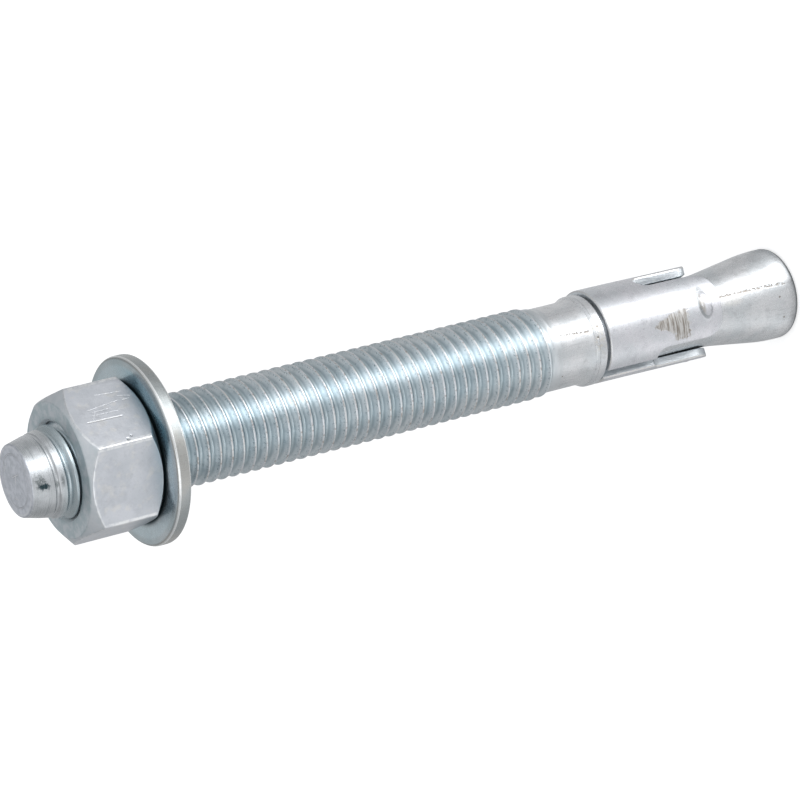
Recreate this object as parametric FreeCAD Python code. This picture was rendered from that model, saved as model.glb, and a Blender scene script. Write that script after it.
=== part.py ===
import FreeCAD, Part
import math
import os

# Wedge anchor standing on the flat end of its cone, origin at the centre of that face.
# +Z runs up the stud to the threaded tip, -Y is the side with the widest view of the clip.

# Stud: overall length, rolled thread and the plain shank below it
stud_length = 177.8
thread_diameter = 18.75
thread_pitch = 2.54
thread_depth = 1.4
thread_crest_flat = 0.3
thread_flank_angle = 30.0
thread_crest_height = 2.376
shank_reduction = 1.39
shank_length = 5.55
runout_length = 2.2
tip_diameter = 14.2
tip_half_angle = 14.0
tip_edge_radius = 0.4

# Expansion cone and the neck above it
cone_diameter = 19.2
cone_half_angle = 8.0
cone_land = 2.4
cone_end_radius = 1.2
cone_swell_radius = 40.0
neck_diameter = 15.0
neck_blend_radius = 40.0

# Collar that stops the clip
collar_diameter = 18.9
collar_width = 2.0
collar_edge_radius = 0.3
flare_rise = 3.0

# Expansion clip, rolled from sheet
clip_thickness = 1.9
clip_bore_clearance = 0.4
clip_collar_gap = 0.7
clip_cone_lap = 0.39
clip_length = 28.3
clip_offset = 0.1
clip_edge_radius = 0.45
clip_seam_angle = -152.0
clip_seam_gap = 2.7
wing_count = 3
wing_slot_angle = -26.5
wing_slot_width = 4.6
wing_slot_depth = 16.0
wing_corner_radius = 4.2
seam_slot_extra = 1.4
dimple_length = 7.2
dimple_width = 3.4
dimple_height = 0.45
dimple_from_end = 4.0

# Nut and washer
nut_across_flats = 27.64
nut_height = 15.7
nut_below_tip = 9.0
nut_corner_angle = -83.25
nut_chamfer_diameter = 26.4
nut_chamfer_angle = 40.0
nut_bore_reduction = 1.0
nut_mouth_clearance = 0.62
nut_thread_clearance = 0.17
washer_diameter = 37.4
washer_bore_clearance = 0.925
washer_thickness = 3.0
washer_outer_radius = 0.8
washer_bore_radius = 0.3

# Radii and heights that follow from the sizes above
thread_radius = thread_diameter / 2
thread_root = thread_radius - thread_depth
shank_radius = thread_radius - shank_reduction / 2
cone_radius = cone_diameter / 2
neck_radius = neck_diameter / 2
cone_slope = math.tan(math.radians(cone_half_angle))
cone_shoulder_height = cone_land + cone_swell_radius * math.tan(math.radians(cone_half_angle) / 2)
cone_top_height = cone_shoulder_height + (cone_radius - neck_radius) / cone_slope
clip_bore = neck_radius + clip_bore_clearance
clip_outside = clip_bore + clip_thickness
clip_underside = cone_top_height - clip_cone_lap
clip_top = clip_underside + clip_length
collar_underside = clip_top + clip_collar_gap
collar_top = collar_underside + collar_width
runout_underside = collar_top + flare_rise + shank_length
thread_underside = runout_underside + runout_length
nut_top = stud_length - nut_below_tip
washer_top = nut_top - nut_height
washer_underside = washer_top - washer_thickness

# How far a shape that cuts or is buried reaches past the surface it meets
overlap = 0.3

axis_up = FreeCAD.Vector(0, 0, 1)
origin = FreeCAD.Vector(0, 0, 0)


def point(radius, height):
    return FreeCAD.Vector(radius, 0, height)


def line(start, end):
    return Part.makeLine(start, end)


def arc(start, middle, end):
    return Part.Arc(start, middle, end).toShape()


def quarter(centre, radius, from_angle, to_angle):
    """Arc in the XZ plane between two angles in degrees."""
    places = []
    for angle in (from_angle, (from_angle + to_angle) / 2, to_angle):
        turn = math.radians(angle)
        places.append(centre + point(radius * math.cos(turn), radius * math.sin(turn)))
    return arc(*places)


def revolve(edges):
    face = Part.Face(Part.Wire(edges))
    return face.revolve(origin, axis_up, 360)


def bend(corner, before, after, radius):
    """Tangent points and arc that round the corner between two straight runs of a profile."""
    back = (before - corner).normalize()
    ahead = (after - corner).normalize()
    half_angle = math.acos(max(-1.0, min(1.0, back.dot(ahead)))) / 2
    reach = radius / math.tan(half_angle)
    bisector = (back + ahead).normalize()
    centre = corner + bisector * (radius / math.sin(half_angle))
    start = corner + back * reach
    end = corner + ahead * reach
    return start, arc(start, centre - bisector * radius, end), end


def helix(radius, height):
    """One right-hand turn that starts on the +X side at the given height."""
    turn = Part.makeHelix(thread_pitch, thread_pitch, radius)
    turn.translate(axis_up * height)
    return turn.Edges[0]


def thread_rod(clearance, low, high):
    """Threaded rod that reaches at least one turn past both heights, grown by a clearance all over.

    Every turn is four ruled faces between helices: a flank, the crest, a flank and the root.
    A ramp and a radial step close each end. All rods share one thread, whatever their heights.
    """
    rise = math.tan(math.radians(thread_flank_angle))
    root = thread_root + clearance
    crest = thread_radius + clearance
    flank = (crest - root) * rise
    flat = thread_crest_flat + 2 * clearance * (1 / math.cos(math.radians(thread_flank_angle)) - rise)
    profile = [(root, -flank - flat / 2), (crest, -flat / 2), (crest, flat / 2), (root, flank + flat / 2)]
    first = math.floor((low - thread_crest_height) / thread_pitch) - 2
    last = math.ceil((high - thread_crest_height) / thread_pitch) + 1

    faces = []
    for turn in range(first, last):
        middle = thread_crest_height + turn * thread_pitch
        edges = [helix(radius, middle + offset) for radius, offset in profile]
        edges.append(helix(root, middle + thread_pitch + profile[0][1]))
        for lower, upper in zip(edges[:-1], edges[1:]):
            faces.append(Part.makeRuledSurface(lower, upper))
    for turn in (first, last):
        middle = thread_crest_height + turn * thread_pitch
        start = middle + profile[0][1]
        axis = line(point(0, start), point(0, start + thread_pitch))
        faces.append(Part.makeRuledSurface(helix(root, start), axis))
        corners = [point(0, start)]
        corners += [point(radius, middle + offset) for radius, offset in profile]
        corners += [point(root, start + thread_pitch), point(0, start + thread_pitch), point(0, start)]
        faces.append(Part.Face(Part.makePolygon(corners)))
    skin = Part.makeCompound(faces)
    skin.sewShape()
    rod = Part.makeSolid(skin.Shells[0])
    if rod.Volume < 0:
        rod.reverse()
    return rod


def make_thread():
    """Stud's thread, cut to the taper of the tip and fading out at its foot."""
    tip_radius = tip_diameter / 2
    reach = thread_radius + overlap
    tip_slope = math.tan(math.radians(tip_half_angle))
    runout_slope = shank_reduction / 2 / runout_length
    foot = point(shank_radius - overlap, runout_underside - overlap / runout_slope)
    runout_edge = point(reach, thread_underside + overlap / runout_slope)
    tip_shoulder = point(reach, stud_length - (reach - tip_radius) / tip_slope)
    tip_corner = point(tip_radius, stud_length)
    tip_start, tip_arc, tip_end = bend(tip_corner, tip_shoulder, point(0, stud_length), tip_edge_radius)
    envelope = revolve([
        line(point(0, foot.z), foot),
        line(foot, runout_edge),
        line(runout_edge, tip_shoulder),
        line(tip_shoulder, tip_start),
        tip_arc,
        line(tip_end, point(0, stud_length)),
        line(point(0, stud_length), point(0, foot.z)),
    ])
    return thread_rod(0, foot.z, stud_length).common(envelope)


def make_stud():
    cone_shoulder = point(cone_radius, cone_shoulder_height)
    cone_top = point(neck_radius, cone_top_height)
    neck_top = point(neck_radius, collar_underside + collar_width / 2)

    end_centre = point(cone_radius - cone_end_radius, cone_end_radius)
    end_arc = quarter(end_centre, cone_end_radius, -90, 0)
    swell_start, swell_arc, swell_end = bend(cone_shoulder, point(cone_radius, 0), cone_top, cone_swell_radius)
    blend_start, blend_arc, blend_end = bend(cone_top, cone_shoulder, neck_top, neck_blend_radius)
    lower = revolve([
        line(origin, point(cone_radius - cone_end_radius, 0)),
        end_arc,
        line(point(cone_radius, cone_end_radius), swell_start),
        swell_arc,
        line(swell_end, blend_start),
        blend_arc,
        line(blend_end, neck_top),
        line(neck_top, point(0, neck_top.z)),
        line(point(0, neck_top.z), origin),
    ])

    shank_start = point(shank_radius, neck_top.z)
    shank_end = point(shank_radius, runout_underside + overlap)
    root_start = point(thread_root - overlap, thread_underside + runout_length)
    upper = revolve([
        line(point(0, shank_start.z), shank_start),
        line(shank_start, shank_end),
        line(shank_end, root_start),
        line(root_start, point(0, root_start.z)),
        line(point(0, root_start.z), point(0, shank_start.z)),
    ])
    return lower.fuse([upper, make_collar()]).fuse(make_thread())


def make_collar():
    """Collar with a hollow flare that dies out into the shank."""
    collar_radius = collar_diameter / 2
    flare_foot = point(shank_radius, collar_top + flare_rise)
    rim = point(collar_radius, collar_top)
    rim_start, rim_arc, rim_end = bend(
        point(collar_radius, collar_underside), point(0, collar_underside), rim, collar_edge_radius)
    hollow = point(
        flare_foot.x + 0.26 * (rim.x - flare_foot.x),
        rim.z + 0.42 * flare_rise)
    return revolve([
        line(point(0, collar_underside), rim_start),
        rim_arc,
        line(rim_end, rim),
        arc(rim, hollow, flare_foot),
        line(flare_foot, point(0, flare_foot.z)),
        line(point(0, flare_foot.z), point(0, collar_underside)),
    ])


def slot_cutter(width, angle, inner, outer):
    """Slot with a round root whose mouth rounds the corners of the wings on both sides."""
    half = width / 2
    root_radius = wing_slot_width / 2
    root = clip_underside + wing_slot_depth
    mouth = clip_underside
    corner = wing_corner_radius
    below = mouth - clip_thickness

    def flat(across, height):
        return FreeCAD.Vector(inner, across, height)

    def round_arc(across, height, radius, from_angle, to_angle):
        places = []
        for degrees in (from_angle, (from_angle + to_angle) / 2, to_angle):
            turn = math.radians(degrees)
            places.append(flat(across + radius * math.cos(turn), height + radius * math.sin(turn)))
        return arc(*places)

    flat_root = half - root_radius
    edges = [
        line(flat(-half - corner, below), flat(-half - corner, mouth)),
        round_arc(-half - corner, mouth + corner, corner, -90, 0),
        line(flat(-half, mouth + corner), flat(-half, root - root_radius)),
        round_arc(-flat_root, root - root_radius, root_radius, 180, 90),
        round_arc(flat_root, root - root_radius, root_radius, 90, 0),
        line(flat(half, root - root_radius), flat(half, mouth + corner)),
        round_arc(half + corner, mouth + corner, corner, 180, 270),
        line(flat(half + corner, mouth), flat(half + corner, below)),
        line(flat(half + corner, below), flat(-half - corner, below)),
    ]
    if flat_root > 0:
        edges.insert(4, line(flat(-flat_root, root), flat(flat_root, root)))
    cutter = Part.Face(Part.Wire(edges)).extrude(FreeCAD.Vector(outer - inner, 0, 0))
    cutter.rotate(origin, axis_up, angle)
    return cutter


def make_clip():
    """Sheet rolled round the neck, open at its seam, with three wings that spread over the cone."""
    bore = clip_bore
    outside = clip_outside
    edge = clip_edge_radius
    ring = revolve([
        line(point(bore, clip_underside), point(outside - edge, clip_underside)),
        quarter(point(outside - edge, clip_underside + edge), edge, -90, 0),
        line(point(outside, clip_underside + edge), point(outside, clip_top - edge)),
        quarter(point(outside - edge, clip_top - edge), edge, 0, 90),
        line(point(outside - edge, clip_top), point(bore, clip_top)),
        line(point(bore, clip_top), point(bore, clip_underside)),
    ])

    wing_pitch = 360.0 / wing_count
    dimple_core = outside - dimple_width / 2
    dimples = []
    cutters = []
    for index in range(wing_count):
        slot_angle = wing_slot_angle - index * wing_pitch
        has_seam = index == 1
        width = wing_slot_width + (seam_slot_extra if has_seam else 0)
        cutters.append(slot_cutter(width, slot_angle, bore / 2, outside + clip_thickness))
        dimple = Part.makeSphere(1.0)
        stretch = FreeCAD.Matrix()
        stretch.scale(dimple_width / 2 + dimple_height, dimple_length / 2, dimple_width / 2)
        dimple = dimple.transformGeometry(stretch)
        dimple.translate(FreeCAD.Vector(dimple_core, 0, clip_underside + dimple_from_end))
        dimple.rotate(origin, axis_up, slot_angle - wing_pitch / 2)
        dimples.append(dimple)

    inside = Part.makeCylinder(bore + clip_thickness / 2, clip_length, point(0, clip_underside))
    seam = Part.makeBox(outside + clip_thickness, clip_seam_gap, clip_length + 2 * clip_thickness)
    seam.translate(FreeCAD.Vector(0, -clip_seam_gap / 2, clip_underside - clip_thickness))
    seam.rotate(origin, axis_up, clip_seam_angle)
    bumps = [dimple.cut(inside) for dimple in dimples]
    clip = ring.fuse(bumps).cut(cutters + [seam]).removeSplitter()
    clip.translate(FreeCAD.Vector(clip_offset, 0, 0))
    return clip


def make_nut():
    """Hexagon chamfered on both faces, with a countersunk mouth at each end of its bore."""
    corner_radius = nut_across_flats / 2 / math.cos(math.radians(30))
    corners = []
    for index in range(7):
        turn = math.radians(nut_corner_angle + 60 * index)
        corners.append(FreeCAD.Vector(corner_radius * math.cos(turn), corner_radius * math.sin(turn), washer_top))
    hexagon = Part.Face(Part.makePolygon(corners)).extrude(axis_up * nut_height)

    bore = thread_radius - nut_bore_reduction
    mouth = thread_radius + nut_mouth_clearance
    sink = mouth - bore
    chamfer_radius = nut_chamfer_diameter / 2
    reach = corner_radius + 1
    drop = (reach - chamfer_radius) * math.tan(math.radians(nut_chamfer_angle))
    turned = revolve([
        line(point(mouth, washer_top), point(chamfer_radius, washer_top)),
        line(point(chamfer_radius, washer_top), point(reach, washer_top + drop)),
        line(point(reach, washer_top + drop), point(reach, nut_top - drop)),
        line(point(reach, nut_top - drop), point(chamfer_radius, nut_top)),
        line(point(chamfer_radius, nut_top), point(mouth, nut_top)),
        line(point(mouth, nut_top), point(bore, nut_top - sink)),
        line(point(bore, nut_top - sink), point(bore, washer_top + sink)),
        line(point(bore, washer_top + sink), point(mouth, washer_top)),
    ])
    return hexagon.common(turned).cut(thread_rod(nut_thread_clearance, washer_top, nut_top))


def make_washer():
    """Punched flat washer with its rim rounded on both sides."""
    inner = thread_radius + washer_bore_clearance
    outer = washer_diameter / 2
    rim = washer_outer_radius
    lip = washer_bore_radius
    low = washer_underside
    high = washer_top
    return revolve([
        line(point(inner + lip, low), point(outer - rim, low)),
        quarter(point(outer - rim, low + rim), rim, -90, 0),
        line(point(outer, low + rim), point(outer, high - rim)),
        quarter(point(outer - rim, high - rim), rim, 0, 90),
        line(point(outer - rim, high), point(inner + lip, high)),
        quarter(point(inner + lip, high - lip), lip, 90, 180),
        line(point(inner, high - lip), point(inner, low + lip)),
        quarter(point(inner + lip, low + lip), lip, 180, 270),
    ])


pieces = {
    "anchor_stud": make_stud(),
    "expansion_clip": make_clip(),
    "flat_washer": make_washer(),
    "hex_nut": make_nut(),
}
os.makedirs("parts", exist_ok=True)
for name, shape in pieces.items():
    solid = shape.Solids[0] if len(shape.Solids) == 1 else shape
    solid.exportStep("parts/" + name + ".step")
    print(name, shape.isValid(), len(shape.Solids), round(shape.Volume, 1), shape.BoundBox)
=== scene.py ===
import math

import bmesh
import bpy
import numpy as np
from mathutils import Matrix, Vector
from mathutils.geometry import tessellate_polygon


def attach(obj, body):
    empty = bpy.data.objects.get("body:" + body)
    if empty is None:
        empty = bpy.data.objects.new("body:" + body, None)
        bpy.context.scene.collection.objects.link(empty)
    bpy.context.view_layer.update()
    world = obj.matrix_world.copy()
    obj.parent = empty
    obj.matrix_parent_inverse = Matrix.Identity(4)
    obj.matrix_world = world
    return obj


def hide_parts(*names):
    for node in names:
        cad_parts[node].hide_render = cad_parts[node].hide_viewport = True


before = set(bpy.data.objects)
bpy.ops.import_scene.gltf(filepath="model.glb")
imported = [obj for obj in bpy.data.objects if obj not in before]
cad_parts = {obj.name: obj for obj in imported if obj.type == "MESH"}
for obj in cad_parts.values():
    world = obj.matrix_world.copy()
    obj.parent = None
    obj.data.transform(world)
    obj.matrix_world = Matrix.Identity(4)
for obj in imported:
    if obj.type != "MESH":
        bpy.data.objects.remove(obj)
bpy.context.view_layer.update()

# All sizes are millimetres until a mesh is made, and repeat the ones of the solids.
MM = 0.001
STUD_LENGTH = 177.8
CREST = 9.375
ROOT = 7.975
PITCH = 2.54
CREST_HALF = 0.15
FLANK = math.tan(math.radians(60.0))
ROOT_RADIUS = FLANK * (PITCH / 2 - CREST_HALF) - (CREST - ROOT)
# Height of the crest's middle at the +X side of the first turn
CREST_HEIGHT = 2.376
SHANK = 8.68
RUNOUT_LOW = 59.3
RUNOUT_HIGH = 63.4
TIP = 7.1
TIP_SLOPE = math.tan(math.radians(14.0))
# Where the thread's grid ends, and above which the tip is a plain cone
THREAD_TOP = STUD_LENGTH - 3.1
# From just below the nut's upper face on, the thread has the tip's worn zinc
TIP_ZINC_LOW = 168.2
CONE = 9.6
CONE_LAND = 2.4
CONE_ANGLE = math.radians(8.0)
CONE_SWELL = 40.0
NECK = 7.5
NECK_BLEND = 40.0
CONE_SHOULDER = CONE_LAND + CONE_SWELL * math.tan(CONE_ANGLE / 2)
CONE_TOP = CONE_SHOULDER + (CONE - NECK) / math.tan(CONE_ANGLE)
CLIP_LOW = CONE_TOP - 0.39
CLIP_HIGH = CLIP_LOW + 28.3
CLIP_BORE = 7.9
CLIP_OUT = 9.8
CLIP_SHIFT = 0.1
CLIP_LEAN = 0.25
DIMPLE_MIDDLE = CLIP_LOW + 4.0
DIMPLE_HALF_WIDE = 3.6
DIMPLE_HALF_HIGH = 1.75
DIMPLE_RISE = 0.45
COLLAR = 9.45
COLLAR_LOW = CLIP_HIGH + 0.7
COLLAR_HIGH = COLLAR_LOW + 2.0
FLARE_HIGH = COLLAR_HIGH + 3.0
NUT_HIGH = 168.8
NUT_LOW = 153.1
NUT_FLAT = 13.82
NUT_FACE = 13.2
NUT_MOUTH = 9.995
NUT_MINOR = 8.375
NUT_CLEARANCE = 0.17
NUT_GROOVE_WIDER = 0.1
NUT_FIRST_FLAT = -53.25
NUT_ROUNDING = 0.4
NUT_CHAMFER = math.tan(math.radians(40.0))
WASHER_LOW = 150.1
WASHER_OUT = 18.7
WASHER_BORE = 10.3

STUD_SIDES = 96
WASHER_SIDES = 160
# Distances from the crest's middle, along the axis, at which the thread's grid has a row
THREAD_STEPS = (
    -PITCH / 2, -1.06, -0.92, -0.80, -0.24, -0.17, -0.09,
    0.09, 0.17, 0.24, 0.80, 0.92, 1.06)
CREST_STEP = 0.24

# The front, a fixed direction from the anchor. The photo's camera stands there, and the
# studio's light is laid out round it.
FRONT = (0.0, -0.87560, 0.48305)
CAMERA_RIGHT = (-0.24418, -0.46843, -0.84909)
CAMERA_PLACE = (-2.857, -622.0, 436.7)
CAMERA_LENS = 160.53


def soft_min(a, b, k):
    """Smaller of a and b, with the change between them rounded over k."""
    return (a + b - np.sqrt((a - b) ** 2 + k * k)) / 2


def soft_max(a, b, k):
    return (a + b + np.sqrt((a - b) ** 2 + k * k)) / 2


def smooth_step(low, high, x):
    t = np.clip((x - low) / (high - low), 0, 1)
    return t * t * (3 - 2 * t)


def rounded(points, steps):
    """Points (radius, height) on a profile of (radius, height, rounding) corners."""
    out = []
    last = len(points) - 1
    for i, (x, y, r) in enumerate(points):
        if r == 0 or i in (0, last):
            out.append((x, y))
            continue
        p = np.array([x, y])
        a = np.array(points[i - 1][:2]) - p
        b = np.array(points[i + 1][:2]) - p
        a /= np.linalg.norm(a)
        b /= np.linalg.norm(b)
        half = math.acos(np.clip(a @ b, -1, 1)) / 2
        reach = r / math.tan(half)
        middle = a + b
        middle /= np.linalg.norm(middle)
        centre = p + middle * r / math.sin(half)
        start = p + a * reach - centre
        end = p + b * reach - centre
        turn = math.atan2(start[0] * end[1] - start[1] * end[0], start @ end)
        for k in range(steps + 1):
            t = turn * k / steps
            out.append((centre[0] + start[0] * math.cos(t) - start[1] * math.sin(t),
                        centre[1] + start[0] * math.sin(t) + start[1] * math.cos(t)))
    return out


def arc_through(a, b, c, steps):
    """Points after a on the arc from a through b to c."""
    a, b, c = (np.array(p, float) for p in (a, b, c))
    centre = np.linalg.solve(2 * np.array([b - a, c - a]), [b @ b - a @ a, c @ c - a @ a])
    size = np.linalg.norm(a - centre)
    start = math.atan2(*(a - centre)[::-1])
    turn = (math.atan2(*(c - centre)[::-1]) - start + math.pi) % (2 * math.pi) - math.pi
    angles = start + turn * np.arange(1, steps + 1) / steps
    return [(centre[0] + size * math.cos(t), centre[1] + size * math.sin(t)) for t in angles]


class Skin:
    """Collects faces and joins the vertices that fall on one place."""

    def __init__(self):
        self.places = []
        self.count = 0
        self.faces = []
        self.tags = []

    def add(self, verts, faces, tag):
        self.places.append(np.asarray(verts, float).reshape(-1, 3))
        self.faces.extend([tuple(i + self.count for i in f) for f in faces])
        self.tags.extend([tag] * len(faces))
        self.count += len(self.places[-1])

    def rings(self, rings, tag=0, shift=0):
        """Closed rings of equal length, one above the other, that gain shift rows in a turn."""
        grid = np.asarray(rings, float)
        rows, around = grid.shape[:2]
        index = np.arange(rows * around).reshape(rows, around)
        quads = []
        for i in range(around):
            j = (i + 1) % around
            up = shift if j == 0 else 0
            low = index[:rows - 1 - up, i]
            low_next = index[up:rows - 1, j]
            high_next = index[up + 1:rows, j]
            high = index[1:rows - up, i]
            quads.append(np.stack([low, low_next, high_next, high], 1))
        self.add(grid.reshape(-1, 3), [tuple(q) for q in np.concatenate(quads).tolist()], tag)

    def disc(self, ring, centre, tag, up=True):
        ring = np.asarray(ring, float)
        n = len(ring)
        faces = [(i, (i + 1) % n, n) if up else ((i + 1) % n, i, n) for i in range(n)]
        self.add(np.vstack([ring, [centre]]), faces, tag)

    def build(self, name, materials, sharp=38.0):
        co = np.concatenate(self.places)
        key = np.round(co * 2e4).astype(np.int64)
        _, first, inverse = np.unique(key, axis=0, return_index=True, return_inverse=True)
        inverse = inverse.reshape(-1)
        faces = []
        tags = []
        for face, tag in zip(self.faces, self.tags):
            short = []
            for i in face:
                v = int(inverse[i])
                if not short or short[-1] != v:
                    short.append(v)
            if len(short) > 1 and short[0] == short[-1]:
                short.pop()
            if len(short) >= 3 and len(set(short)) == len(short):
                faces.append(short)
                tags.append(tag)
        mesh = bpy.data.meshes.new(name)
        mesh.from_pydata((co[first] * MM).tolist(), [], faces)
        for material in materials:
            mesh.materials.append(material)
        mesh.polygons.foreach_set("material_index", tags)
        mesh.validate()
        mesh.shade_smooth()
        mesh.set_sharp_from_angle(angle=math.radians(sharp))
        piece = bpy.data.objects.new(name, mesh)
        bpy.context.scene.collection.objects.link(piece)
        return piece


def ring(radius, height, thetas):
    x, y = radius * np.cos(thetas), radius * np.sin(thetas)
    return np.stack([x, y, np.full_like(thetas, height)], 1)


class Nodes:
    """Shader nodes written as short sums; every length in them is in millimetres."""

    def __init__(self, tree):
        self.tree = tree

    def make(self, kind, inputs, **settings):
        node = self.tree.nodes.new(kind)
        for key, value in settings.items():
            setattr(node, key, value)
        for key, value in inputs.items():
            if isinstance(value, bpy.types.NodeSocket):
                self.tree.links.new(value, node.inputs[key])
            else:
                node.inputs[key].default_value = value
        return node

    def math(self, operation, a, b=None):
        inputs = {0: a} if b is None else {0: a, 1: b}
        return self.make("ShaderNodeMath", inputs, operation=operation).outputs[0]

    def vector(self, operation, a, b=None):
        inputs = {0: a} if b is None else {0: a, 1: b}
        return self.make("ShaderNodeVectorMath", inputs, operation=operation).outputs[0]

    def split(self, vector):
        return self.make("ShaderNodeSeparateXYZ", {0: vector}).outputs

    def join(self, x, y, z=0.0):
        return self.make("ShaderNodeCombineXYZ", {0: x, 1: y, 2: z}).outputs[0]

    def length(self, a, b):
        return self.math("SQRT", self.math("ADD", self.times(a, a), self.times(b, b)))

    def times(self, value, *factors):
        for factor in factors:
            value = self.math("MULTIPLY", value, factor)
        return value

    def most(self, value, *others):
        for other in others:
            value = self.math("MAXIMUM", value, other)
        return value

    def span(self, value, low, high, to_low=0.0, to_high=1.0, smooth=True):
        """to_low where the value is low, changing to to_high where it is high."""
        return self.make(
            "ShaderNodeMapRange", {0: value, 1: low, 2: high, 3: to_low, 4: to_high},
            interpolation_type="SMOOTHSTEP" if smooth else "LINEAR").outputs[0]

    def between(self, value, low, high, soft):
        """1 between low and high, falling to 0 over soft outside them."""
        return self.times(
            self.span(value, low - soft, low), self.span(value, high, high + soft, 1.0, 0.0))

    def curve(self, value, points):
        """Level at an angle from a table of (angle, level)."""
        most = max(level for _, level in points)
        ramp = self.make("ShaderNodeValToRGB", {0: self.span(value, -90.0, 90.0, smooth=False)})
        stops = ramp.color_ramp.elements
        while len(stops) < len(points):
            stops.new(0.5)
        for stop, (angle, level) in zip(stops, points):
            stop.position = (angle + 90) / 180
            stop.color = (*[level / most] * 3, 1)
        return self.math("MULTIPLY", ramp.outputs[0], most)


class Surface(Nodes):
    """One procedural material, with the place on its piece as x, y, z, radius and angle."""

    def __init__(self, name):
        self.material = bpy.data.materials.new(name)
        self.material.use_nodes = True
        super().__init__(self.material.node_tree)
        self.shader = self.tree.nodes["Principled BSDF"]
        place = self.tree.nodes.new("ShaderNodeTexCoord").outputs["Object"]
        self.place = self.vector("MULTIPLY", place, (1 / MM, 1 / MM, 1 / MM))
        self.x, self.y, self.z = self.split(self.place)
        self.angle = self.math("MULTIPLY", self.math("ARCTAN2", self.y, self.x), 180 / math.pi)
        self.radius = self.length(self.x, self.y)

    def stretch(self, x, y, z):
        return self.make("ShaderNodeMapping", {0: self.place, 3: (x, y, z)}).outputs[0]

    def noise(self, scale, detail, rough, place=None):
        return self.make("ShaderNodeTexNoise", {
            "Vector": place or self.place, "Scale": scale, "Detail": detail,
            "Roughness": rough}).outputs["Fac"]

    def mix(self, factor, a, b):
        return self.make("ShaderNodeMix", {0: factor, 6: a, 7: b}, data_type="RGBA").outputs[2]

    def blend(self, factor, a, b):
        return self.make("ShaderNodeMix", {0: factor, 2: a, 3: b}, data_type="FLOAT").outputs[0]

    def tint(self, color, tone, mask, low, high, amount):
        """Colour with a share of a tone laid over it where the mask goes from low to high."""
        return self.mix(self.span(mask, low, high, 0.0, amount), color, tone)

    def bump(self, height, distance, normal=None):
        inputs = {"Height": height, "Distance": distance * MM}
        if normal:
            inputs["Normal"] = normal
        return self.make("ShaderNodeBump", inputs).outputs[0]

    def around(self, middle, radius):
        """Millimetres round the axis from a direction in degrees, on a surface of that radius."""
        return self.times(self.math("SUBTRACT", self.angle, middle), math.radians(radius))

    def scratch(self, across, along, start, end, width):
        """Mask of one straight scratch between two (across, along) places."""
        start = np.array(start, float)
        end = np.array(end, float)
        length = float(np.linalg.norm(end - start))
        way = (end - start) / length
        a = self.math("SUBTRACT", across, float(start[0]))
        b = self.math("SUBTRACT", along, float(start[1]))
        run = self.math("ADD", self.times(a, float(way[0])), self.times(b, float(way[1])))
        off = self.math("SUBTRACT", self.times(a, float(way[1])), self.times(b, float(way[0])))
        return self.times(
            self.between(run, 0.0, length, length * 0.12),
            self.span(self.math("ABSOLUTE", off), width * 0.3, width, 1.0, 0.0))

    def spot(self, across, along, centre, size):
        """Mask of a soft oval spot."""
        a = self.times(self.math("SUBTRACT", across, centre[0]), 1 / size[0])
        b = self.times(self.math("SUBTRACT", along, centre[1]), 1 / size[1])
        return self.span(self.length(a, b), 0.35, 1.0, 1.0, 0.0)

    def finish(self, color, roughness, normal):
        self.shader.inputs["Metallic"].default_value = 1.0
        for socket, value in (("Base Color", color), ("Roughness", roughness), ("Normal", normal)):
            self.tree.links.new(value, self.shader.inputs[socket])
        return self.material


# Zinc plate in linear colours, its dirt, and painted shade: DEEP and DARK serve both as dirt and as
# painted shade in roots, gaps and hollows. A material's own tones stand before it.
PALE = (0.70, 0.705, 0.72, 1)
SOFT = (0.60, 0.625, 0.645, 1)
GREY = (0.46, 0.475, 0.49, 1)
AQUA = (0.715, 0.76, 0.785, 1)
TEAL = (0.61, 0.675, 0.71, 1)
DEEP = (0.29, 0.37, 0.405, 1)
WARM = (0.74, 0.72, 0.68, 1)
SAND = (0.60, 0.56, 0.49, 1)
BROWN = (0.22, 0.19, 0.16, 1)
DARK = (0.035, 0.06, 0.07, 1)

CREST_COOL = (0.67, 0.68, 0.71, 1)
CREST_WARM = (0.60, 0.58, 0.56, 1)
CREST_DIRT = (0.30, 0.27, 0.245, 1)


def thread_material():
    n = Surface("zinc_thread")
    cloud = n.noise(0.10, 3, 0.6)
    fine = n.noise(1.5, 4, 0.65)
    speck = n.noise(3.4, 2, 0.5)
    crest = n.span(n.radius, CREST - 0.115, CREST - 0.025)
    beside = n.between(n.radius, CREST - 0.475, CREST - 0.235, 0.1)
    # Painted shade in the thread's root: the root is darkened towards DEEP.
    root_shade = n.span(n.radius, ROOT + 0.025, ROOT + 0.725, 1.0, 0.0)
    color = n.mix(n.span(cloud, 0.36, 0.64), TEAL, AQUA)
    color = n.tint(color, DEEP, n.noise(0.5, 3, 0.6), 0.5, 0.75, 0.4)
    color = n.tint(color, DEEP, fine, 0.52, 0.8, 0.35)
    color = n.mix(n.times(root_shade, 0.65), color, DEEP)

    rubbed = n.mix(n.span(n.noise(0.45, 3, 0.6), 0.4, 0.62), CREST_COOL, CREST_WARM)
    bare = n.span(n.noise(0.9, 3, 0.6), 0.36, 0.62, 0.95, 0.45)
    dirty = n.span(n.noise(1.3, 2, 0.6), 0.52, 0.64)
    color = n.mix(n.times(crest, bare), color, rubbed)
    color = n.mix(n.times(crest, dirty, 0.7), color, CREST_DIRT)
    color = n.mix(n.times(beside, n.span(speck, 0.54, 0.66)), color, DEEP)
    color = n.mix(n.times(n.span(speck, 0.30, 0.24), 0.6), color, PALE)
    color = n.mix(n.span(n.z, RUNOUT_HIGH - 0.8, RUNOUT_LOW + 0.9), color, SOFT)

    rough = n.span(fine, 0.3, 0.7, 0.27, 0.35)
    rough = n.blend(crest, rough, 0.30)
    rolled = n.noise(1.0, 3, 0.6, n.stretch(0.6, 0.6, 7.0))
    normal = n.bump(rolled, 0.012)
    normal = n.bump(n.noise(4.5, 2, 0.5), 0.006, normal)
    return n.finish(color, rough, normal)


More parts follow.
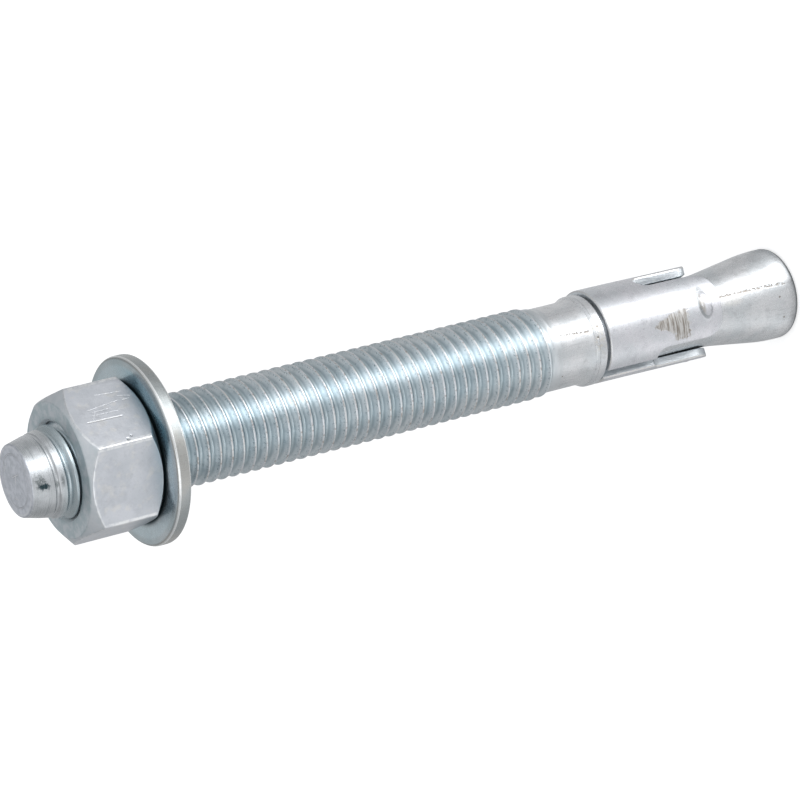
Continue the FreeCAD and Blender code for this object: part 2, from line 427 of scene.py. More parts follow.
TIP_PALE = (0.55, 0.57, 0.59, 1)
TIP_GREY = (0.44, 0.46, 0.475, 1)
TIP_BLUE = (0.42, 0.50, 0.53, 1)
TIP_GROOVE = (0.24, 0.27, 0.28, 1)
TIP_MARK = (0.16, 0.18, 0.185, 1)
FACE_PALE = (0.58, 0.60, 0.65, 1)
FACE_GREY = (0.45, 0.475, 0.515, 1)
# Scratches on the end face: from (x, y), to (x, y), width.
FACE_SCRATCHES = (
    ((0.8, 0.6), (1.0, -2.0), 0.22),
    ((-0.6, 0.3), (0.9, -0.7), 0.18),
    ((-2.6, 4.2), (-1.0, 5.0), 0.2),
    ((2.4, 3.8), (3.6, 2.6), 0.16),
    ((-3.6, 1.0), (-2.9, 2.6), 0.15))


def tip_material():
    n = Surface("zinc_tip")
    cloud = n.noise(0.25, 3, 0.6)
    fine = n.noise(2.4, 4, 0.65)
    turned = n.noise(1.0, 4, 0.75, n.stretch(0.06, 0.06, 5.0))
    blotch = n.noise(0.8, 4, 0.7)
    face = n.span(n.z, STUD_LENGTH - 0.4, STUD_LENGTH - 0.1)
    blue = n.span(n.z, 172.4, 170.4)
    color = n.mix(n.span(cloud, 0.35, 0.65), TIP_PALE, TIP_GREY)
    color = n.tint(color, TIP_GROOVE, turned, 0.46, 0.28, 0.75)
    color = n.mix(n.times(blue, n.span(fine, 0.3, 0.6, 0.9, 0.6)), color, TIP_BLUE)
    color = n.mix(face, color, n.mix(n.span(blotch, 0.35, 0.65), FACE_PALE, FACE_GREY))

    # A dark nick and its smears on the side towards the front.
    side = n.around(-109.0, 7.6)
    ragged = n.span(n.noise(1.6, 3, 0.6), 0.3, 0.7, -0.5, 0.5)
    broken = n.span(fine, 0.35, 0.55)
    smear = n.scratch(side, n.z, (0.3, 177.2), (-0.15, 174.0), 0.75)
    nick = n.spot(n.math("ADD", side, n.times(ragged, 0.5)), n.z, (0.15, 175.5), (0.85, 1.7))
    marked = n.most(
        n.spot(side, n.math("ADD", n.z, ragged), (1.4, 175.9), (1.7, 1.3)),
        n.spot(side, n.z, (0.1, 172.9), (0.9, 0.4)),
        n.spot(side, n.z, (0.7, 171.9), (1.4, 0.45)))
    color = n.mix(n.times(smear, 0.75), color, GREY)
    color = n.mix(n.times(marked, broken, 0.8), color, TIP_MARK)
    color = n.mix(n.times(nick, n.span(fine, 0.3, 0.5, 0.6, 1.0)), color, DARK)

    rim = n.times(face, n.between(n.radius, 6.55, 6.75, 0.2))
    inner = n.times(face, n.between(n.radius, 5.15, 5.3, 0.16))
    scratches = n.times(face, n.most(*[n.scratch(n.x, n.y, *line) for line in FACE_SCRATCHES]))
    color = n.mix(n.times(n.most(scratches, n.times(rim, 0.5)), broken), color, PALE)
    color = n.mix(n.times(inner, 0.35), color, GREY)

    rough = n.blend(face, n.span(turned, 0.3, 0.7, 0.2, 0.36), n.span(fine, 0.3, 0.7, 0.36, 0.5))
    rough = n.blend(nick, rough, 0.6)
    normal = n.bump(turned, 0.035)
    normal = n.bump(n.times(fine, n.span(face, 0.0, 1.0, 0.35, 1.0)), 0.03, normal)
    normal = n.bump(n.math("ADD", nick, n.most(scratches, inner)), -0.1, normal)
    return n.finish(color, rough, normal)


SMOOTH_PATCH = (0.42, 0.425, 0.435, 1)
# Dark tone of the painted shade on the cone's lower end
SMOOTH_FOOT_SHADE = (0.20, 0.22, 0.225, 1)
# Dark flecks on shank, collar and cone: (round from the front, height), (half width, half height).
FLECKS = (
    ((-2.85, 4.9), (0.3, 0.34)),
    ((-7.2, 3.9), (0.26, 0.3)),
    ((-1.9, 50.7), (0.42, 0.36)),
    ((-8.9, 59.2), (0.3, 0.36)),
    ((0.2, 50.3), (0.3, 0.5)))


def smooth_material():
    """Shank, collar, neck and cone."""
    n = Surface("zinc_smooth")
    cloud = n.noise(0.13, 3, 0.6)
    fine = n.noise(1.9, 4, 0.65)
    drawn = n.noise(1.0, 3, 0.6, n.stretch(2.0, 2.0, 0.1))
    color = n.mix(n.span(cloud, 0.35, 0.65), PALE, SOFT)
    color = n.tint(color, GREY, fine, 0.52, 0.8, 0.3)
    color = n.tint(color, GREY, drawn, 0.56, 0.72, 0.4)
    color = n.tint(color, SMOOTH_PATCH, n.noise(0.4, 4, 0.7), 0.5, 0.7, 0.45)

    # Broken dark line along the front, rubs and flecks.
    front = n.around(-80.0, 9.0)
    broken = n.span(n.noise(1.7, 3, 0.7), 0.42, 0.56)
    cone_line = n.scratch(front, n.z, (0.38, 18.8), (-0.34, 3.8), 0.46)
    shank_line = n.scratch(front, n.z, (0.35, 58.6), (-0.25, 52.4), 0.36)
    flecks = n.times(n.most(cone_line, shank_line), broken)
    flecks = n.most(flecks, *[n.spot(front, n.z, *fleck) for fleck in FLECKS])
    smear = n.times(n.spot(front, n.z, (-1.5, 15.8), (1.5, 3.0)), n.span(fine, 0.3, 0.6, 0.4, 0.9))
    collar_rub = n.times(
        n.between(n.z, 49.4, 51.4, 0.7), n.spot(front, n.z, (-1.6, 50.4), (5.0, 3.0)),
        n.span(fine, 0.44, 0.62))
    ledge = n.most(
        n.between(n.z, 50.45, 50.6, 0.14), n.times(n.between(n.z, 51.35, 51.5, 0.12), 0.6))
    # Painted shade on the cone's rounded lower end, where it stands on the floor.
    foot_shade = n.span(n.z, 1.3, 0.5)
    color = n.mix(n.times(smear, 0.5), color, WARM)
    color = n.mix(n.times(collar_rub, 0.55), color, SAND)
    color = n.mix(n.times(flecks, 0.85), color, BROWN)
    color = n.mix(n.times(ledge, n.span(fine, 0.3, 0.6, 0.5, 0.15)), color, GREY)
    color = n.mix(n.times(foot_shade, 0.8), color, SMOOTH_FOOT_SHADE)

    rough = n.span(fine, 0.25, 0.75, 0.24, 0.35)
    rough = n.blend(foot_shade, rough, 0.5)
    normal = n.bump(drawn, 0.014)
    normal = n.bump(fine, 0.006, normal)
    normal = n.bump(n.most(ledge, flecks), -0.05, normal)
    normal = n.bump(cloud, 0.12, normal)
    return n.finish(color, rough, normal)


CLIP_PALE = (0.70, 0.70, 0.735, 1)
CLIP_SOFT = (0.62, 0.64, 0.67, 1)
CLIP_PATCH = (0.46, 0.46, 0.49, 1)
CLIP_STAIN = (0.33, 0.31, 0.28, 1)
CLIP_SHADE = (0.27, 0.29, 0.30, 1)


def clip_material():
    n = Surface("zinc_clip")
    cloud = n.noise(0.12, 3, 0.6)
    fine = n.noise(1.7, 4, 0.6)
    lean = n.span(n.z, CLIP_LOW, CLIP_HIGH, CLIP_SHIFT, CLIP_SHIFT + CLIP_LEAN)
    reach = n.length(n.math("SUBTRACT", n.x, lean), n.y)
    outside = n.span(reach, CLIP_OUT - 0.2, CLIP_OUT - 0.1)
    cut = n.span(reach, CLIP_OUT - 0.25, CLIP_OUT - 0.4)
    edge = n.between(reach, CLIP_OUT - 0.3, CLIP_OUT - 0.1, 0.08)
    # Painted shade on the clip's inner face, which lies against the neck.
    inside = n.span(reach, CLIP_BORE + 0.15, CLIP_BORE + 0.05)
    color = n.mix(n.span(cloud, 0.36, 0.64), CLIP_PALE, CLIP_SOFT)
    color = n.tint(color, GREY, fine, 0.52, 0.8, 0.35)
    color = n.tint(color, CLIP_PATCH, n.noise(0.36, 4, 0.65), 0.5, 0.7, 0.4)
    color = n.mix(n.times(cut, n.span(fine, 0.3, 0.6, 0.9, 0.5)), color, AQUA)
    color = n.mix(n.times(edge, n.span(fine, 0.3, 0.6, 0.8, 0.3)), color, WARM)
    color = n.mix(n.times(inside, 0.8), color, DEEP)

    # Rubbed patch on the front wing, with lines that run round it. It is laid out by u,
    # which goes down the picture.
    front = n.around(-90.0, 9.85)
    u = n.times(front, -1.0)
    ragged = n.span(n.noise(1.1, 3, 0.65), 0.3, 0.7, -0.7, 0.7)
    ragged_u = n.math("ADD", u, ragged)
    bulge = n.span(n.math("ABSOLUTE", n.math("SUBTRACT", u, 1.3)), 0.0, 2.4, 4.8, 0.0)
    top = n.math("ADD", n.math("ADD", bulge, 32.6), ragged)
    patch = n.times(
        n.span(n.math("SUBTRACT", top, n.z), 0.0, 0.9),
        n.span(n.math("ADD", n.z, ragged), 28.0, 28.7),
        n.span(ragged_u, -2.8, 0.8),
        n.span(ragged_u, 4.4, 5.8, 1.0, 0.0),
        outside)
    slanted = n.math("ADD", n.z, n.times(u, 0.05))
    rubs = n.noise(1.0, 3, 0.65, n.join(n.times(u, 0.22), n.times(slanted, 2.6)))
    color = n.mix(n.times(patch, 0.45), color, SAND)
    color = n.mix(n.times(patch, n.span(rubs, 0.44, 0.56), 0.8), color, BROWN)

    marks = n.most(
        n.spot(front, n.z, (0.45, 38.7), (0.28, 0.3)),
        n.spot(front, n.z, (-0.96, 39.8), (0.25, 0.4)),
        n.scratch(front, n.z, (2.2, 45.6), (2.5, 40.2), 0.1))
    stain = n.times(n.spot(front, n.z, (1.2, 24.7), (3.2, 0.9)), n.span(fine, 0.32, 0.5))
    color = n.mix(n.times(marks, 0.5), color, GREY)
    color = n.mix(n.times(stain, 0.75), color, CLIP_STAIN)

    # Shade along the foot of the front wing's dimple.
    dimple = n.length(
        n.times(n.math("SUBTRACT", front, 1.45), 1 / DIMPLE_HALF_WIDE),
        n.times(n.math("SUBTRACT", n.z, DIMPLE_MIDDLE), 1 / DIMPLE_HALF_HIGH))
    shade = n.times(
        n.between(dimple, 0.84, 0.94, 0.1), n.span(n.z, 22.6, 24.6, 0.45, 1.0),
        n.span(fine, 0.3, 0.5, 0.5, 1.0))
    color = n.mix(n.times(shade, outside, 0.8), color, CLIP_SHADE)

    rough = n.span(fine, 0.25, 0.75, 0.24, 0.36)
    rough = n.blend(patch, rough, 0.42)
    rough = n.blend(cut, rough, 0.4)
    sheared = n.noise(1.0, 3, 0.65, n.stretch(2.5, 2.5, 0.5))
    normal = n.bump(fine, 0.007)
    normal = n.bump(n.times(sheared, cut), 0.08, normal)
    normal = n.bump(n.times(rubs, patch), -0.06, normal)
    normal = n.bump(cloud, 0.10, normal)
    return n.finish(color, rough, normal)


WASHER_DULL = (0.34, 0.40, 0.42, 1)
WASHER_SOFT = (0.43, 0.47, 0.49, 1)
WASHER_RING = (0.46, 0.55, 0.59, 1)
# Tone of the painted bluish shade beside the nut
WASHER_SHADE_TEAL = (0.27, 0.41, 0.47, 1)
RIM_COOL = (0.37, 0.395, 0.40, 1)
RIM_WARM = (0.43, 0.43, 0.415, 1)
RIM_EDGE = (0.86, 0.87, 0.87, 1)


def washer_material():
    n = Surface("zinc_washer")
    cloud = n.noise(0.10, 3, 0.6)
    fine = n.noise(1.5, 4, 0.6)
    rim = n.span(n.radius, WASHER_OUT - 0.7, WASHER_OUT - 0.35)
    edge = n.most(n.between(n.z, 152.55, 152.8, 0.12), n.between(n.z, 150.35, 150.5, 0.1))
    edge = n.times(edge, rim)
    color = n.mix(n.span(cloud, 0.35, 0.65), WASHER_DULL, WASHER_SOFT)
    color = n.mix(n.times(n.between(n.radius, 15.2, 16.6, 0.9), 0.6), color, WASHER_RING)
    color = n.mix(rim, color, n.mix(n.span(cloud, 0.4, 0.6), RIM_COOL, RIM_WARM))
    color = n.mix(n.times(edge, 0.8), color, RIM_EDGE)
    color = n.tint(color, GREY, fine, 0.52, 0.8, 0.35)

    # Painted bluish shade on the front side of the face beside the nut, and painted shade on the
    # line where the nut sits on it.
    right = n.spot(n.around(-60.0, 16.0), n.z, (0.0, NUT_LOW - 0.1), (16.0, 8.0))
    bluish_shade = n.times(n.between(n.radius, 13.0, 16.4, 1.2), right)
    under_nut_shade = n.times(n.span(n.radius, 14.6, 13.8), n.span(n.z, NUT_LOW - 0.2, NUT_LOW - 0.1))
    color = n.mix(n.times(bluish_shade, 0.9), color, WASHER_SHADE_TEAL)
    color = n.mix(under_nut_shade, color, DARK)

    rough = n.span(fine, 0.25, 0.75, 0.24, 0.36)
    rough = n.blend(under_nut_shade, rough, 0.6)
    grain = n.noise(1.0, 3, 0.6, n.stretch(0.4, 0.4, 5.0))
    normal = n.bump(n.times(grain, rim), 0.03)
    normal = n.bump(fine, 0.012, normal)
    normal = n.bump(cloud, 0.15, normal)
    return n.finish(color, rough, normal)


NUT_PALE = (0.61, 0.63, 0.67, 1)
NUT_SOFT = (0.54, 0.565, 0.605, 1)
NUT_PATCH = (0.42, 0.44, 0.475, 1)
NUT_STAIN = (0.40, 0.475, 0.50, 1)
NUT_END = (0.54, 0.575, 0.60, 1)
NUT_BEVEL = (0.64, 0.66, 0.69, 1)
NUT_HOLE_SHADE = (0.28, 0.36, 0.38, 1)
NUT_WORN = (0.80, 0.815, 0.825, 1)
SCRATCH_LIGHT = (0.80, 0.81, 0.82, 1)
SCRATCH_DEEP = (0.90, 0.91, 0.92, 1)
# Light scratches on the upper front flat: from (across, height), to (across, height), width.
NUT_SCRATCHES = (
    ((-0.05, 164.2), (-0.1, 158.9), 0.1),
    ((0.75, 163.6), (0.85, 160.2), 0.09),
    ((1.45, 164.1), (2.2, 158.2), 0.1),
    ((2.1, 156.9), (2.2, 155.4), 0.12),
    ((3.3, 157.2), (2.7, 154.9), 0.1),
    ((0.5, 163.4), (-2.3, 165.4), 0.08),
    ((4.6, 161.2), (4.2, 156.6), 0.1))


def nut_material():
    n = Surface("zinc_nut")
    cloud = n.noise(0.14, 3, 0.6)
    fine = n.noise(2.2, 4, 0.7)

    def along(x_part, y_part):
        return n.math("ADD", n.times(n.x, x_part), n.times(n.y, y_part))

    reach = n.most(*[
        n.math("ABSOLUTE", along(math.cos(turn), math.sin(turn)))
        for turn in np.radians(NUT_FIRST_FLAT + 60.0 * np.arange(3)).tolist()])
    flat = n.span(reach, NUT_FLAT - 0.16, NUT_FLAT - 0.06)
    slope = n.times(n.math("SUBTRACT", n.radius, NUT_FACE), NUT_CHAMFER)
    above = n.math("SUBTRACT", n.math("SUBTRACT", NUT_HIGH, slope), n.z)
    below = n.math("SUBTRACT", n.z, n.math("ADD", slope, NUT_LOW))
    rim = n.times(
        n.span(reach, NUT_FLAT - 0.32, NUT_FLAT - 0.14),
        n.most(n.span(above, 0.42, 0.12), n.span(below, 0.3, 0.1)))
    corner = n.span(n.radius, 15.55, 15.72)
    worn = n.span(n.noise(0.9, 3, 0.6), 0.38, 0.6, 0.15, 0.9)

    color = n.mix(n.span(cloud, 0.35, 0.65), NUT_PALE, NUT_SOFT)
    color = n.tint(color, GREY, fine, 0.52, 0.78, 0.5)
    color = n.tint(color, WARM, n.noise(0.5, 2, 0.5), 0.52, 0.7, 0.35)
    color = n.tint(color, NUT_PATCH, n.noise(0.33, 4, 0.7), 0.48, 0.68, 0.35)
    end = n.times(n.span(flat, 1.0, 0.0), n.span(n.z, 161.0, 162.0))
    bevel = n.times(end, n.span(n.radius, NUT_FACE, NUT_FACE + 0.3))
    stained = n.mix(n.span(n.noise(0.45, 4, 0.7), 0.4, 0.62), NUT_STAIN, NUT_END)
    color = n.mix(n.times(end, 0.85), color, stained)
    color = n.mix(n.times(bevel, 0.6), color, NUT_BEVEL)
    # Painted shade on the end face round the hole.
    color = n.mix(n.times(end, n.span(n.radius, 11.0, 10.0), 0.45), color, NUT_HOLE_SHADE)
    color = n.mix(n.times(n.most(n.times(rim, 0.65), corner), worn), color, NUT_WORN)

    facing = math.radians(NUT_FIRST_FLAT)
    u = along(-math.sin(facing), math.cos(facing))
    on_flat = n.span(along(math.cos(facing), math.sin(facing)), NUT_FLAT - 0.22, NUT_FLAT - 0.12)
    deep = n.times(n.scratch(u, n.z, (-1.37, 165.3), (-1.5, 159.1), 0.2), on_flat)
    light = n.most(*[n.scratch(u, n.z, *line) for line in NUT_SCRATCHES])
    light = n.times(light, on_flat, n.span(fine, 0.35, 0.6))
    dents = n.most(
        n.spot(u, n.z, (-7.2, 160.1), (0.5, 0.45)), n.spot(u, n.z, (-6.6, 159.2), (0.35, 0.3)))
    dents = n.times(dents, on_flat)
    color = n.mix(n.times(light, 0.6), color, SCRATCH_LIGHT)
    color = n.mix(deep, color, SCRATCH_DEEP)
    color = n.mix(n.times(dents, 0.7), color, GREY)

    # The bore, and painted shade in the gaps over the washer and beside the thread's upper end.
    color = n.mix(n.span(n.radius, 10.05, 9.92), color, AQUA)
    seat_shade = n.times(n.span(n.z, NUT_LOW + 0.75, NUT_LOW + 0.35), n.span(flat, 1.0, 0.0))
    mouth = n.times(
        n.span(n.radius, 9.98, 9.7), n.span(n.z, NUT_HIGH - 2.8, NUT_HIGH - 1.0, 0.8, 0.0))
    color = n.mix(n.most(seat_shade, mouth), color, DARK)

    rough = n.span(fine, 0.25, 0.75, 0.34, 0.46)
    rough = n.blend(end, rough, 0.55)
    rough = n.blend(n.most(rim, corner, deep), rough, 0.28)
    normal = n.bump(fine, 0.02)
    normal = n.bump(n.noise(0.8, 3, 0.6), 0.03, normal)
    normal = n.bump(n.most(deep, n.times(light, 0.5), dents), -0.09, normal)
    return n.finish(color, rough, normal)


def tip_reach(height):
    return TIP + (STUD_LENGTH - height) * TIP_SLOPE


def thread_depth(offset):
    """How far the surface lies below the crest, at an offset along the axis from its middle."""
    edge_rounding = 0.07
    crest_lift = 0.012
    away = np.minimum(np.abs(offset), PITCH / 2)
    from_root = PITCH / 2 - away
    flank = soft_max(FLANK * (away - CREST_HALF), 0.0, edge_rounding) - crest_lift
    rise = np.sqrt(ROOT_RADIUS ** 2 - np.minimum(from_root, ROOT_RADIUS) ** 2)
    bottom = CREST - ROOT - ROOT_RADIUS + rise
    return np.where(from_root < ROOT_RADIUS * math.cos(math.radians(30)), bottom, flank)


def thread_rows(thetas, low, high, surface):
    """Helical grid clipped to two heights; surface gives the radius for (height, offset)."""
    around = len(thetas)
    turns = (thetas % (2 * math.pi)) / (2 * math.pi)
    first = math.floor((low - CREST_HEIGHT) / PITCH) - 2
    last = math.ceil((high - CREST_HEIGHT) / PITCH) + 1
    rows = []
    for n in range(first, last + 1):
        middle = CREST_HEIGHT + PITCH * (n + turns)
        # On the tapered tip the crest is cut off, so its edges move apart.
        cut = np.clip(CREST - tip_reach(middle), 0, CREST - ROOT) / FLANK
        for step in THREAD_STEPS:
            size = abs(step)
            if size <= CREST_STEP:
                offset = size + cut
            else:
                offset = np.maximum(size, CREST_STEP + cut + 0.1 * (size - 0.7))
            offset = np.minimum(offset, PITCH / 2) * (1 if step > 0 else -1)
            height = middle + offset
            inside = np.clip(height, low, high)
            reach = surface(inside, offset)
            edge = (height <= low) | (height >= high)
            reach = np.where(edge, surface(inside, np.full(around, PITCH / 2)), reach)
            rows.append(np.stack([reach * np.cos(thetas), reach * np.sin(thetas), inside], 1))
    return np.array(rows), len(THREAD_STEPS)


def stud_surface(height, offset):
    profile = CREST - thread_depth(offset)
    full = smooth_step(RUNOUT_LOW + 0.1, RUNOUT_HIGH, height)
    profile = SHANK + full * (profile - SHANK)
    fade = smooth_step(0.0, 0.5, THREAD_TOP - height) * 0.05 + 1e-4
    return soft_min(profile, tip_reach(height), fade)


# Places of the stud's three materials in its list
THREAD_SLOT, TIP_SLOT, SMOOTH_SLOT = range(3)


def make_stud(materials):
    """Stud with its cone, neck, collar and shank as rings, the thread as a helix, and the tip."""
    thetas = np.arange(STUD_SIDES) * 2 * math.pi / STUD_SIDES
    skin = Skin()
    lower = rounded([
        (0, 0, 0), (CONE, 0, 1.2), (CONE, CONE_SHOULDER, CONE_SWELL),
        (NECK, CONE_TOP, NECK_BLEND), (NECK, COLLAR_LOW, 0)], 10)[1:]
    hollow = (SHANK + 0.26 * (COLLAR - SHANK), COLLAR_HIGH + 0.42 * (FLARE_HIGH - COLLAR_HIGH))
    rim = rounded([
        (NECK, COLLAR_LOW, 0), (COLLAR, COLLAR_LOW, 0.3), (COLLAR, COLLAR_HIGH, 0.12),
        (*hollow, 0)], 5)
    lower += rim[1:-1]
    lower += arc_through(rim[-2], hollow, (SHANK, FLARE_HIGH), 12)
    lower += [(SHANK, z) for z in np.linspace(FLARE_HIGH, RUNOUT_LOW, 4)[1:]]
    lower = [ring(r, z, thetas) for r, z in lower]
    skin.disc(lower[0], (0, 0, 0), SMOOTH_SLOT, up=False)
    skin.rings(lower, SMOOTH_SLOT)

    helix, gain = thread_rows(thetas, RUNOUT_LOW, THREAD_TOP, stud_surface)
    skin.rings(helix, THREAD_SLOT, gain)

    top = rounded([
        (tip_reach(THREAD_TOP), THREAD_TOP, 0), (TIP, STUD_LENGTH, 0.4),
        (0, STUD_LENGTH, 0)], 5)[:-1]
    skin.rings([ring(r, z, thetas) for r, z in top], TIP_SLOT)
    skin.disc(ring(*top[-1], thetas), (0, 0, STUD_LENGTH), TIP_SLOT)
    piece = skin.build("stud_dressed", materials)

    heights = np.array([p.center.z for p in piece.data.polygons]) / MM
    index = np.zeros(len(piece.data.polygons), np.int32)
    piece.data.polygons.foreach_get("material_index", index)
    index[(index == THREAD_SLOT) & (heights > TIP_ZINC_LOW)] = TIP_SLOT
    piece.data.polygons.foreach_set("material_index", index)
    return piece


def make_nut(materials):
    outline = []
    for side in range(6):
        facing = math.radians(NUT_FIRST_FLAT + 60 * side)
        out = np.array([math.cos(facing), math.sin(facing)])
        across = np.array([-out[1], out[0]])
        half = (NUT_FLAT - NUT_ROUNDING) * math.tan(math.radians(30))
        for t in np.linspace(-half, half, 20):
            outline.append(out * NUT_FLAT + across * t)
        for k in range(1, 5):
            turn = facing + math.radians(60 * k / 5)
            hub = out * (NUT_FLAT - NUT_ROUNDING) + across * half
            outline.append(hub + NUT_ROUNDING * np.array([math.cos(turn), math.sin(turn)]))
    outline = np.array(outline)
    thetas = np.arctan2(outline[:, 1], outline[:, 0]) % (2 * math.pi)
    order = np.argsort(thetas)
    outline = outline[order]
    thetas = thetas[order]

    columns = []
    for r in np.hypot(outline[:, 0], outline[:, 1]):
        drop = (r - NUT_FACE) * NUT_CHAMFER
        columns.append(rounded([
            (NUT_MOUTH, NUT_LOW, 0), (NUT_FACE, NUT_LOW, 0.3), (r, NUT_LOW + drop, 0.35),
            (r, NUT_HIGH - drop, 0.35), (NUT_FACE, NUT_HIGH, 0.3), (NUT_MOUTH, NUT_HIGH, 0)], 4))
    radii, heights = np.array(columns).transpose(2, 1, 0)
    skin = Skin()
    skin.rings(np.stack([radii * np.cos(thetas), radii * np.sin(thetas), heights], 2))

    def bore(height, offset):
        """Radius of the threaded bore, widened by the countersunk mouth at either end."""
        flat = np.maximum(np.abs(offset) - NUT_GROOVE_WIDER, 0)
        inside = CREST + NUT_CLEARANCE - thread_depth(flat)
        inside = np.maximum(inside, NUT_MINOR)
        depth = np.minimum(height - NUT_LOW, NUT_HIGH - height)
        return soft_max(inside, NUT_MOUTH - depth, 0.03 * smooth_step(0.0, 0.3, depth) + 1e-4)

    helix, gain = thread_rows(thetas, NUT_LOW, NUT_HIGH, bore)
    skin.rings(helix, 0, gain)
    return skin.build("nut_dressed", materials, 30.0)


def make_washer(materials):
    thetas = np.arange(WASHER_SIDES) * 2 * math.pi / WASHER_SIDES
    middle = (WASHER_LOW + NUT_LOW) / 2
    profile = rounded([
        (WASHER_BORE, middle, 0), (WASHER_BORE, WASHER_LOW, 0.3), (WASHER_OUT, WASHER_LOW, 0.8),
        (WASHER_OUT, NUT_LOW, 0.8), (WASHER_BORE, NUT_LOW, 0.3), (WASHER_BORE, middle, 0)], 7)
    skin = Skin()
    skin.rings([ring(r, z, thetas) for r, z in profile])
    return skin.build("washer_dressed", materials, 50.0)


def clip_outline():
    """Flat blank of the clip as (way round, height), the seam's angle and the wings' angles."""
    slot = 4.6
    root_radius = slot / 2
    root = CLIP_LOW + 16.0
    corner = 4.2
    seam_slot = slot + 1.4
    seam_angle = -152.0
    seam_slot_angle = -146.5
    seam_half_gap = 1.35
    gap = math.degrees(math.asin(seam_half_gap / CLIP_OUT))
    shift = seam_slot_angle - seam_angle

    def side(width, centre, sign, start=0.0):
        """From the root of a slot to the level end of the wing beside it."""
        half = width / 2
        flat = half - root_radius
        points = [(start, root)] if start < flat else []
        first = 90.0 if start < flat else math.degrees(math.acos((start - flat) / root_radius))
        for t in np.radians(np.linspace(first, 0, 9)):
            x, z = root_radius * math.cos(t), root_radius * math.sin(t)
            points.append((flat + x, root - root_radius + z))
        for t in np.radians(np.linspace(180, 270, 11)):
            x, z = corner * math.cos(t), corner * math.sin(t)
            points.append((half + corner + x, CLIP_LOW + corner + z))
        return [(centre + sign * math.degrees(math.asin(y / CLIP_OUT)), z) for y, z in points]

    def both_sides(width, centre):
        down = side(width, centre, 1)
        up = side(width, centre, -1)[::-1]
        return up[:-1] + down if abs(up[-1][0] - down[0][0]) < 1e-6 else up + down

    plus = CLIP_OUT * math.sin(math.radians(gap - shift))
    minus = CLIP_OUT * math.sin(math.radians(gap + shift))
    path = [(gap, CLIP_HIGH)]
    path += side(seam_slot, shift, 1, plus)
    path += both_sides(slot, shift + 120)
    path += both_sides(slot, shift + 240)
    path += side(seam_slot, shift + 360, -1, minus)[::-1]
    path += [(360 - gap, CLIP_HIGH)]
    dense = []
    for a, b in zip(path, path[1:] + path[:1]):
        steps = max(1, int(max(abs(b[0] - a[0]) / 4.0, abs(b[1] - a[1]) / 3.0)))
        for k in range(steps):
            dense.append((a[0] + (b[0] - a[0]) * k / steps, a[1] + (b[1] - a[1]) * k / steps))
    flat = np.array([(math.radians(a) * CLIP_OUT, z) for a, z in dense])
    return flat, seam_angle, [shift + 60, shift + 180, shift + 300]


def make_clip(materials):
    """Clip cut from its flat blank, its edges bevelled and dimples pressed, bent round the neck."""
    outline, seam_angle, wings = clip_outline()
    count = len(outline)
    after = np.roll(outline, -1, 0) - outline
    before = outline - np.roll(outline, 1, 0)
    after /= np.linalg.norm(after, axis=1)[:, None]
    before /= np.linalg.norm(before, axis=1)[:, None]
    normals = np.stack([after[:, 1] + before[:, 1], -after[:, 0] - before[:, 0]], 1)
    normals /= (1 + (after * before).sum(1))[:, None]
    thick = CLIP_OUT - CLIP_BORE
    outer_edge = 0.36
    inner_edge = 0.12

    levels = []
    for t in np.linspace(0, math.pi / 2, 6):
        levels.append((outer_edge * (1 - math.sin(t)), thick / 2 - outer_edge * (1 - math.cos(t))))
    for t in np.linspace(math.pi / 2, 0, 4):
        levels.append((inner_edge * (1 - math.sin(t)), -thick / 2 + inner_edge * (1 - math.cos(t))))
    bm = bmesh.new()
    verts = []
    for inset, depth in levels:
        flat = outline - normals * inset
        verts.append([bm.verts.new((u, z, depth)) for u, z in flat])
    for low, high in zip(verts[:-1], verts[1:]):
        for i in range(count):
            j = (i + 1) % count
            bm.faces.new((low[i], high[i], high[j], low[j]))
    for row, flip in ((verts[0], False), (verts[-1], True)):
        for a, b, c in tessellate_polygon([[v.co.xy.to_3d() for v in row]]):
            bm.faces.new((row[a], row[b], row[c]) if not flip else (row[c], row[b], row[a]))
    bmesh.ops.recalc_face_normals(bm, faces=bm.faces[:])

    # Cuts close enough for the bend, and closer round the dimples.
    ways = np.arange(outline[:, 0].min() + 0.2, outline[:, 0].max(), 0.45)
    heights = np.concatenate([
        np.arange(DIMPLE_MIDDLE - 2.2, DIMPLE_MIDDLE + 2.3, 0.2),
        np.arange(DIMPLE_MIDDLE + 3.5, CLIP_HIGH, 2.0)])
    cuts = [((u, 0, 0), (1, 0, 0)) for u in ways]
    cuts += [((0, z, 0), (0, 1, 0)) for z in heights]
    for place, facing in cuts:
        everything = bm.verts[:] + bm.edges[:] + bm.faces[:]
        bmesh.ops.bisect_plane(bm, geom=everything, plane_co=place, plane_no=facing, dist=1e-5)

    for v in bm.verts:
        u, z, t = v.co
        if t > 0:
            for wing in wings:
                away = math.hypot(
                    (u - math.radians(wing) * CLIP_OUT) / DIMPLE_HALF_WIDE,
                    (z - DIMPLE_MIDDLE) / DIMPLE_HALF_HIGH)
                t += DIMPLE_RISE * float(smooth_step(0.0, 0.5, 1 - away))
        turn = math.radians(seam_angle) + u / CLIP_OUT
        r = (CLIP_OUT + CLIP_BORE) / 2 + t
        shift = CLIP_SHIFT + CLIP_LEAN * float(smooth_step(CLIP_LOW, CLIP_HIGH, z))
        v.co = (r * math.cos(turn) + shift, r * math.sin(turn), z)
    bmesh.ops.scale(bm, vec=(MM, MM, MM), verts=bm.verts[:])
    mesh = bpy.data.meshes.new("clip_dressed")
    bm.to_mesh(mesh)
    bm.free()
    for material in materials:
        mesh.materials.append(material)
    mesh.shade_smooth()
    mesh.set_sharp_from_angle(angle=math.radians(40))
    piece = bpy.data.objects.new("clip_dressed", mesh)
    bpy.context.scene.collection.objects.link(piece)
    return piece


